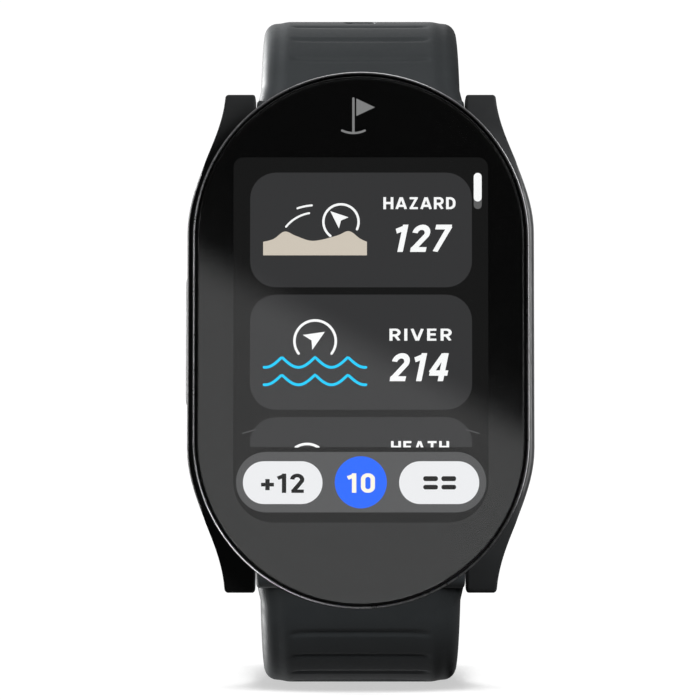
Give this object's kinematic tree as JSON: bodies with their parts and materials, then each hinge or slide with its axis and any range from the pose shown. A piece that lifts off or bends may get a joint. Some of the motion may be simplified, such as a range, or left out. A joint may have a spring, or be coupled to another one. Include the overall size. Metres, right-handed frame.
{
  "type": "golf gps watch",
  "caption": "Stadium-shaped touch-screen golf GPS watch with a flush side button, on a quick-release silicone strap with a pin buckle.",
  "frame": {"origin": "centre of the case back's flat rear face", "axes": "+Z towards twelve o'clock, +Y from the glass to the wrist, +X to the right seen from the front"},
  "size_m": [0.0359, 0.0766, 0.0722],
  "materials": {
    "case": "fine matte glass-filled polymer",
    "button": "satin polymer",
    "glass": "polished, black printed border",
    "bezel": "dark coated metal with a polished chamfer",
    "display": "lit colour display",
    "seal": "moulded rubber",
    "strap": "matte charcoal silicone",
    "buckle": "dark coated, satin",
    "steel": "bright drawn steel",
    "screw": "blackened steel",
    "contact": "gold plated",
    "tray": "cast magnesium, satin",
    "board": "green solder mask",
    "chip": "moulded resin",
    "shield": "tinned sheet",
    "flex": "amber polyimide",
    "antenna": "fired ceramic",
    "battery": "foil pouch",
    "foam": "open-cell foam"
  },
  "bodies": {
    "watch_head": {"mid_case": "case", "case_back": "case", "cover_glass": "glass", "bezel_ring": "bezel", "display_panel": "display", "glass_gasket": "seal", "back_gasket": "seal", "button_seal": "seal", "tray_screw_1": "screw", "tray_screw_2": "screw", "tray_screw_3": "screw", "tray_screw_4": "screw", "back_screw_1": "screw", "back_screw_2": "screw", "back_screw_3": "screw", "back_screw_4": "screw", "charging_contact_1": "contact", "charging_contact_2": "contact", "charging_contact_3": "contact", "charging_contact_4": "contact", "buzzer": "contact", "display_tray": "tray", "main_board": "board", "memory_chip": "chip", "radio_module": "chip", "side_switch": "chip", "processor_shield": "shield", "gps_receiver": "shield", "haptic_motor": "shield", "display_flex": "flex", "battery_tab": "flex", "charging_flex": "flex", "gps_antenna": "antenna", "battery": "battery", "battery_pad": "foam"},
    "strap_top": {"strap_top": "strap", "spring_bar_top": "steel", "buckle_bar": "steel", "keeper_fixed": "strap"},
    "strap_bottom": {"strap_bottom": "strap", "spring_bar_bottom": "steel"},
    "release_pin_top": {"release_pin_top": "steel"},
    "release_pin_bottom": {"release_pin_bottom": "steel"},
    "buckle_frame": {"buckle_frame": "buckle"},
    "buckle_tongue": {"buckle_tongue": "buckle"},
    "keeper_free": {"keeper_free": "strap"},
    "side_button": {"side_button": "button", "button_clip": "steel"},
    "switch_plunger": {"switch_plunger": "steel"}
  },
  "joints": [
    {"name": "strap_top_swing", "type": "hinge", "parent": "watch_head", "child": "strap_top", "pos_m": [0, -0.0036, 0.0234], "axis": [1, 0, 0], "range_deg": [0, 55]},
    {"name": "strap_bottom_swing", "type": "hinge", "parent": "watch_head", "child": "strap_bottom", "pos_m": [0, -0.0036, -0.0234], "axis": [-1, 0, 0], "range_deg": [0, 55]},
    {"name": "release_pin_top_slide", "type": "slide", "parent": "strap_top", "child": "release_pin_top", "axis": [-1, 0, 0], "range_m": [0, 0.0013], "stiffness_N_per_m": 400, "springref_m": -0.001},
    {"name": "release_pin_bottom_slide", "type": "slide", "parent": "strap_bottom", "child": "release_pin_bottom", "axis": [-1, 0, 0], "range_m": [0, 0.0013], "stiffness_N_per_m": 400, "springref_m": -0.001},
    {"name": "buckle_frame_swing", "type": "hinge", "parent": "strap_top", "child": "buckle_frame", "pos_m": [0, 0.05706, 0.01867], "axis": [1, 0, 0], "range_deg": [-30, 25]},
    {"name": "buckle_tongue_swing", "type": "hinge", "parent": "buckle_frame", "child": "buckle_tongue", "pos_m": [0, 0.05706, 0.01867], "axis": [1, 0, 0], "range_deg": [0, 70]},
    {"name": "keeper_slide", "type": "hinge", "parent": "strap_top", "child": "keeper_free", "pos_m": [0, 0.03068, 0], "axis": [1, 0, 0], "range_deg": [-8, 14]},
    {"name": "side_button_press", "type": "slide", "parent": "watch_head", "child": "side_button", "axis": [1, 0, 0], "range_m": [0, 0.0004], "stiffness_N_per_m": 3000, "springref_m": -0.0002},
    {"name": "switch_plunger_press", "type": "slide", "parent": "watch_head", "child": "switch_plunger", "axis": [1, 0, 0], "range_m": [0, 0.0004]}
  ],
  "couplings": [
    {"joint": "switch_plunger_press", "follows": "side_button_press", "ratio": 1}
  ]
}
